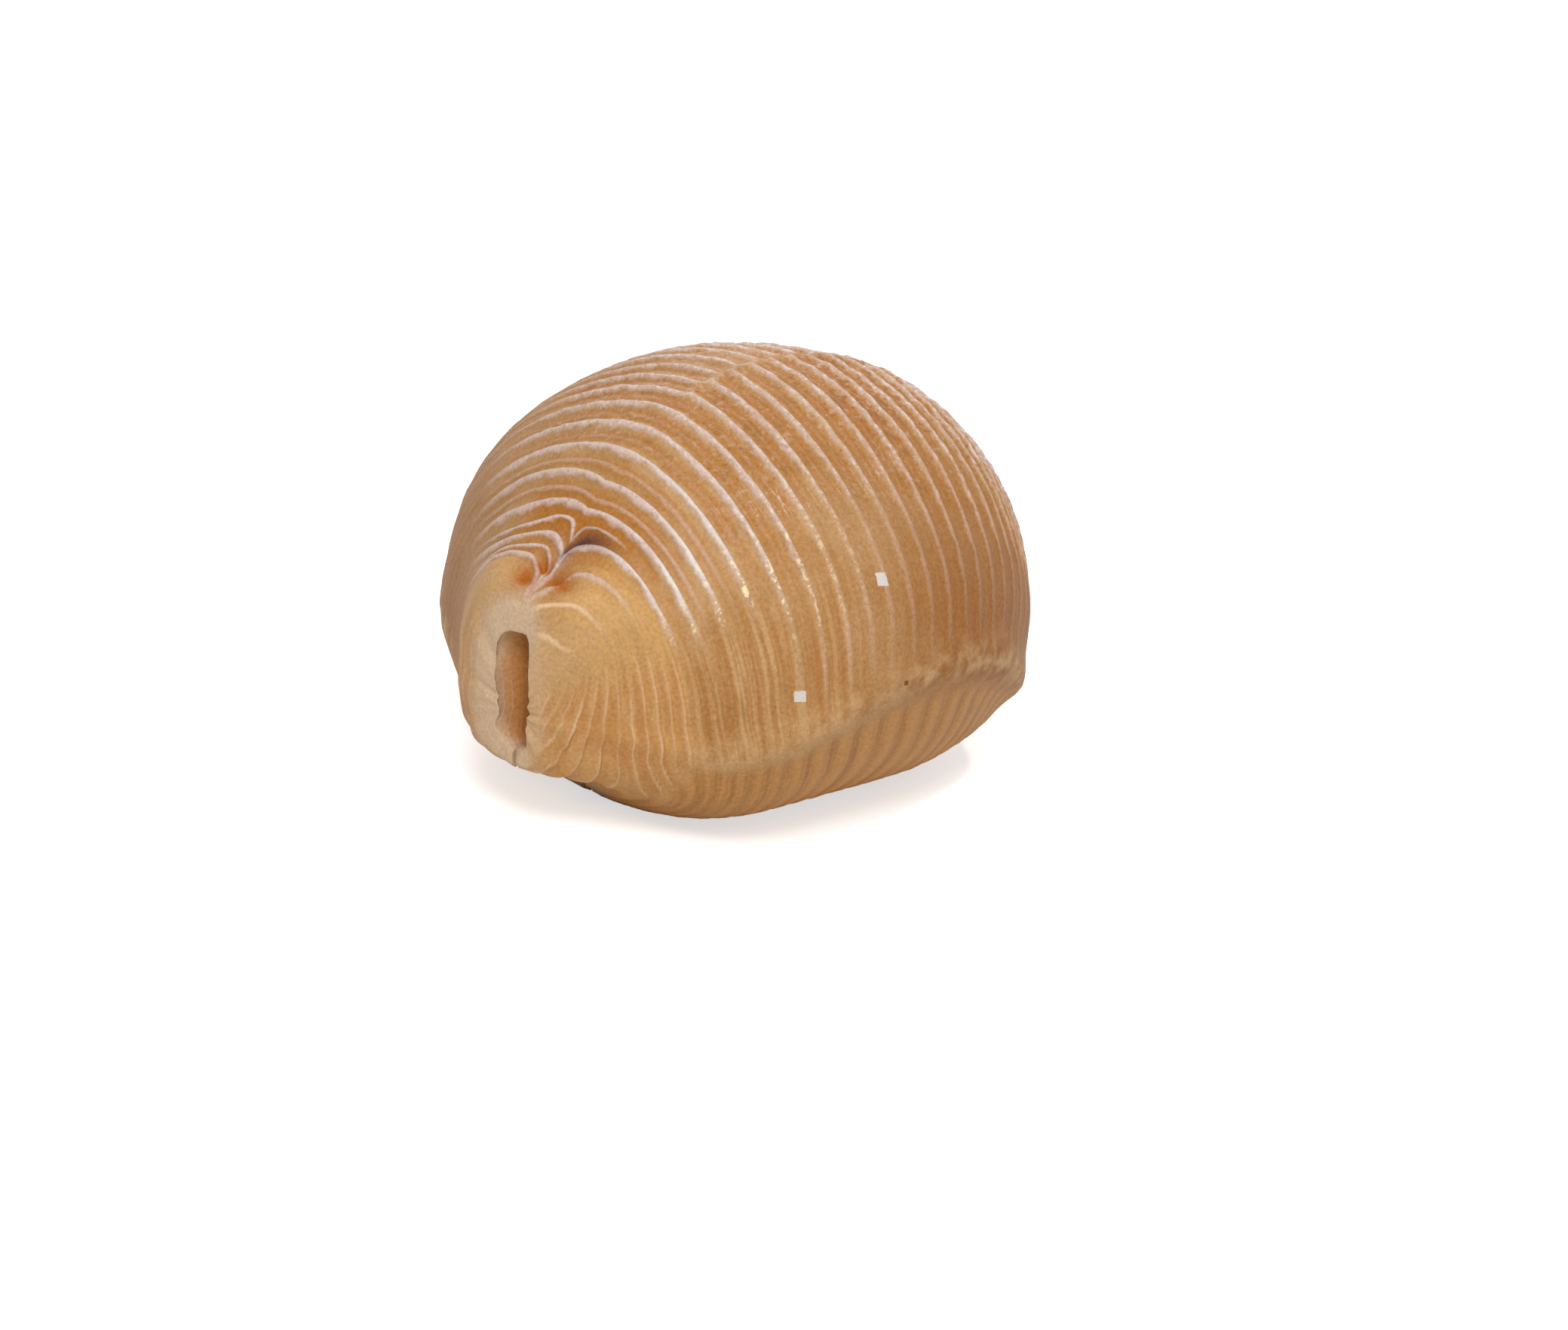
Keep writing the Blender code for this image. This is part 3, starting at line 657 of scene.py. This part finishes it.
# Colours laid over the clouded ground, one over another: colour, strength, and what limits it
colourLayers = (
    ("orange", 0.4, "orangePatch", "back"),
    # painted shade low on the flanks, the far side and the front end
    ("low", 0.82, "low"),
    ("orange", 1.0, "warm"),
    ("orange", 1.0, "valley", "thread", "valleyTint"),
    ("crumb", 0.7, "crumbSpot"),
    ("thread", 0.45, "paleSpot", "crumb"),
    ("dark", 0.6, "darkPatch", "valley", "crumb"),
    ("bandGap", 0.7, "band", "bandDip"),
    ("bandGap", 0.45, "band", "valley"),
    ("band", 0.5, "bandCrest", "band"),
    ("shoulder", 1.0, "shoulder", "shoulderStreak"),
    ("fanGap", 1.0, "fan", "fanDip"),
    ("fan", 0.75, "fanCrest", "fan"),
    ("fan", 1.0, "arcRidge", "arc"),
    ("baseRib", 1.0, "base"),
    ("baseGap", 1.0, "baseGroove", "base", "baseStreak"),
    ("margin", 0.8, "margin", "marginPatch"),
    ("rim", 1.0, "rim"),
    ("lilac", 0.6, "lilac"),
    ("thread", 1.0, "threadCrest"),
    ("threadDull", 1.0, "threadCrest", "dull", "dullSpot"),
    ("threadWhite", 1.0, "threadCore", "threadCrest", "white", "whitePatch"),
    ("threadWhite", 0.7, "threadCore", "thread", "crumb", "whiteSpot"),
    # a painted highlight: warm glints of reflected light on the thread cores
    ("paintedGlint", 1.0, "threadCore", "paintedGlint", "paintedGlintSpot"),
    ("pit", 1.0, "pit"),
    ("stain", 1.0, "stain"),
    ("inside", 1.0, "inside"),
)

# Specks stuck to the near flank, two of white sand and one of dirt: ring, turn, half size, colour
specks = ((1.2, 1.9, 0.145, "#dbd0cb"), (0.83, 1.65, 0.135, "#dbd0cb"), (1.267, 1.468, 0.06, "#75532f"))


def addRows(tree, made, rows):
    # one node for each row; what it gives is kept under the row's name
    for name, action, *terms in rows:
        inputs = {index: made[term] if isinstance(term, str) else term for index, term in enumerate(terms)}
        if action == "SMOOTHSTEP":
            node = addNode(tree, "ShaderNodeMapRange", {"interpolation_type": action}, inputs)
        else:
            node = addNode(tree, "ShaderNodeMath", {"operation": action}, inputs)
        made[name] = node.outputs[0]


def ribPattern(tree, place, zoneNames):
    # every zone and grain, and every result of the tables above, by its name
    made = {}
    for name in zoneNames:
        made[name] = addNode(tree, "ShaderNodeAttribute", {"attribute_name": name}).outputs["Fac"]
    sheet = addNode(tree, "ShaderNodeCombineXYZ", None, {0: made["streakRing"], 1: made["streakTurn"]})
    sheet = addNode(tree, "ShaderNodeMapping", None,
                    {"Vector": sheet.outputs[0], "Scale": aragonite["streaks"]})
    grains = {name: (place, 1.0 / (size * mm)) for name, size in aragonite["grains"].items()}
    grains["streaks"] = sheet.outputs[0], 1.0
    for name, (vector, scale) in grains.items():
        made[name] = addNode(tree, "ShaderNodeTexNoise", None, {
            "Vector": vector, "Scale": scale, "Detail": aragonite["grainDetail"]}).outputs["Fac"]
    addRows(tree, made, ribCourses)
    made["chance"] = addNode(tree, "ShaderNodeTexWhiteNoise", {"noise_dimensions": "1D"},
                             {"W": made["ribNumber"]}).outputs["Value"]
    for name, count, pace, width, hard in ridges:
        addRows(tree, made, (("away", "PINGPONG", count, 0.5), ("distance", "MULTIPLY", "away", pace),
                             (name, "SMOOTHSTEP", "distance", width, width * hard, 0.0, 1.0)))
    addRows(tree, made, ribCrests)
    return made


def speckCover(tree, place, centre, size, made):
    # a small rough-edged cube around a point of the skin
    start, end = (size * mm * part for part in aragonite["speckFade"])
    offset = addNode(tree, "ShaderNodeVectorMath", {"operation": "SUBTRACT"}, {0: place, 1: tuple(centre)})
    offset = addNode(tree, "ShaderNodeVectorMath", {"operation": "ABSOLUTE"}, {0: offset.outputs[0]})
    parts = addNode(tree, "ShaderNodeSeparateXYZ", None, {0: offset.outputs[0]}).outputs
    made.update(zip(("offX", "offY", "offZ"), parts))
    addRows(tree, made, (
        ("offSide", "MAXIMUM", "offX", "offY"), ("offMost", "MAXIMUM", "offSide", "offZ"),
        ("offEdge", "MULTIPLY_ADD", "speckEdge", size, "offMost"),
        ("speck", "SMOOTHSTEP", "offEdge", start, end, 0.0, 1.0)))
    return made["speck"]


def aragoniteMaterial(fit, zoneNames):
    # Aragonite laid down in ribs by the living mantle: a satin, slightly waxy skin with a thin
    # glaze, chalky white where a rib stands up, and tan between the ribs
    material, tree = newMaterial("ribbedAragonite")
    place = addNode(tree, "ShaderNodeTexCoord").outputs["Object"]
    made = ribPattern(tree, place, zoneNames)
    covers = [(aragonite["cloud"], made["cloudy"])]
    for name, cover, *limits in colourLayers:
        for limit in limits:
            cover = addNode(tree, "ShaderNodeMath", {"operation": "MULTIPLY"},
                            {0: cover, 1: made[limit]}).outputs[0]
        covers.append((aragonite[name], cover))
    colour = linearColour(aragonite["ground"])
    for hexText, cover in covers:
        colour = addNode(tree, "ShaderNodeMix", {"data_type": "RGBA"},
                         {0: cover, 6: colour, 7: linearColour(hexText)}).outputs[2]
    colour = addNode(tree, "ShaderNodeMix", {"data_type": "RGBA", "blend_type": "SOFT_LIGHT"},
                     {0: aragonite["speckle"], 6: colour, 7: made["dust"]}).outputs[2]
    for ring, turn, size, hexText in specks:
        cover = speckCover(tree, place, fit(skinPlace(ring, turn)), size, made)
        colour = addNode(tree, "ShaderNodeMix", {"data_type": "RGBA"},
                         {0: cover, 6: colour, 7: linearColour(hexText)}).outputs[2]
    bump = addNode(tree, "ShaderNodeBump", None, {
        "Strength": 1.0, "Distance": aragonite["bumpHeight"] * mm, "Height": made["height"]})
    shader = addNode(tree, "ShaderNodeBsdfPrincipled", None, {
        "Base Color": colour, "Normal": bump.outputs[0],
        "Roughness": aragonite["roughness"], "IOR": aragonite["ior"],
        "Specular IOR Level": aragonite["specular"], "Specular Tint": linearColour(aragonite["sheen"]),
        "Coat Weight": aragonite["glaze"], "Coat Roughness": aragonite["glazeRoughness"]})
    addNode(tree, "ShaderNodeOutputMaterial", None, {"Surface": shader.outputs[0]})
    return material


studio = {
    "floorColour": "#f2f1ef", "floorGlow": 0.62, "floorRadius": 0.6,
    "worldColour": "#ffffff", "worldStrength": 0.3,
    "lamps": {                                        # place, size in metres, power in watts
        "key": ((-0.21, -0.14, 0.28), 0.16, 0.75),
        "top": ((0.025, -0.13, 0.32), 0.03, 0.25),
        "fill": ((0.2, 0.24, 0.2), 0.2, 0.3),
    },
}

view = {                                              # degrees and metres, and the lens in millimetres
    "azimuth": -52.98, "elevation": 18.9, "roll": 9.03, "distance": 0.1533,
    "lens": 130.53, "aim": (-0.000852, -0.000421, 0.0055),
    "shiftX": 0.0242, "shiftY": -0.05672, "clipStart": 0.01,
}


def makeFloor():
    bm = bmesh.new()
    bmesh.ops.create_circle(bm, cap_ends=True, segments=64, radius=studio["floorRadius"])
    floorMesh = bpy.data.meshes.new("floor")
    bm.to_mesh(floorMesh)
    bm.free()
    floor = bpy.data.objects.new("floor", floorMesh)
    bpy.context.scene.collection.objects.link(floor)
    # Matt white paper: it mirrors nothing, and its glow, which only the camera sees, keeps the shadow
    material, tree = newMaterial("whiteStudioFloor")
    paths = addNode(tree, "ShaderNodeLightPath").outputs
    glow = addNode(tree, "ShaderNodeMath", {"operation": "MULTIPLY"},
                   {0: paths["Is Camera Ray"], 1: studio["floorGlow"]})
    light = addNode(tree, "ShaderNodeEmission", None, {"Strength": glow.outputs[0]})
    matt = addNode(tree, "ShaderNodeBsdfDiffuse", None, {"Color": linearColour(studio["floorColour"])})
    both = addNode(tree, "ShaderNodeAddShader", None, {0: matt.outputs[0], 1: light.outputs[0]})
    addNode(tree, "ShaderNodeOutputMaterial", None, {"Surface": both.outputs[0]})
    floorMesh.materials.append(material)


def makeWorld():
    world = bpy.data.worlds.new("studio")
    bpy.context.scene.world = world
    world.use_nodes = True
    tree = world.node_tree
    tree.nodes.clear()
    paths = addNode(tree, "ShaderNodeLightPath").outputs
    seen = addNode(tree, "ShaderNodeMath", {"operation": "MAXIMUM"},
                   {0: paths["Is Camera Ray"], 1: paths["Is Glossy Ray"]})
    strength = addNode(tree, "ShaderNodeMix", {"data_type": "FLOAT"},
                       {0: seen.outputs[0], 2: studio["worldStrength"], 3: 1.0})
    light = addNode(tree, "ShaderNodeBackground", None, {
        "Color": linearColour(studio["worldColour"]), "Strength": strength.outputs[0]})
    addNode(tree, "ShaderNodeOutputWorld", None, {"Surface": light.outputs[0]})


def makeLamp(name, place, size, power):
    lamp = bpy.data.lights.new(name, "AREA")
    lamp.shape = "DISK"
    lamp.size = size
    lamp.energy = power
    holder = bpy.data.objects.new(name, lamp)
    holder.location = place
    holder.rotation_euler = (-Vector(place)).to_track_quat("-Z", "Y").to_euler()
    bpy.context.scene.collection.objects.link(holder)


def makeCamera():
    turn, tilt, roll = (math.radians(view[key]) for key in ("azimuth", "elevation", "roll"))
    back = Vector((math.sin(turn) * math.cos(tilt), -math.cos(turn) * math.cos(tilt), math.sin(tilt)))
    right = Vector((math.cos(turn), math.sin(turn), 0.0))
    up = back.cross(right)
    rolledRight = math.cos(roll) * right + math.sin(roll) * up
    rolledUp = math.cos(roll) * up - math.sin(roll) * right
    lens = bpy.data.cameras.new("camera")
    lens.lens = view["lens"]
    lens.shift_x = view["shiftX"]
    lens.shift_y = view["shiftY"]
    lens.clip_start = view["clipStart"]
    camera = bpy.data.objects.new("camera", lens)
    camera.matrix_world = Matrix.Translation(Vector(view["aim"]) + back * view["distance"]) @ Matrix(
        (rolledRight, rolledUp, back)).transposed().to_4x4()
    bpy.context.scene.collection.objects.link(camera)
    bpy.context.scene.camera = camera


shell, fitToFrame, zoneNames = makeShell()
shell.data.materials.append(aragoniteMaterial(fitToFrame, zoneNames))
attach(shell, "root")
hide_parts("shell")
print("shell", len(shell.data.polygons), "faces, finished in", shell.data.materials[0].name)

makeFloor()
makeWorld()
for lampName, (place, size, power) in studio["lamps"].items():
    makeLamp(lampName, place, size, power)
makeCamera()
bpy.context.scene.view_settings.view_transform = "Standard"
print("floor, lamps and camera placed")
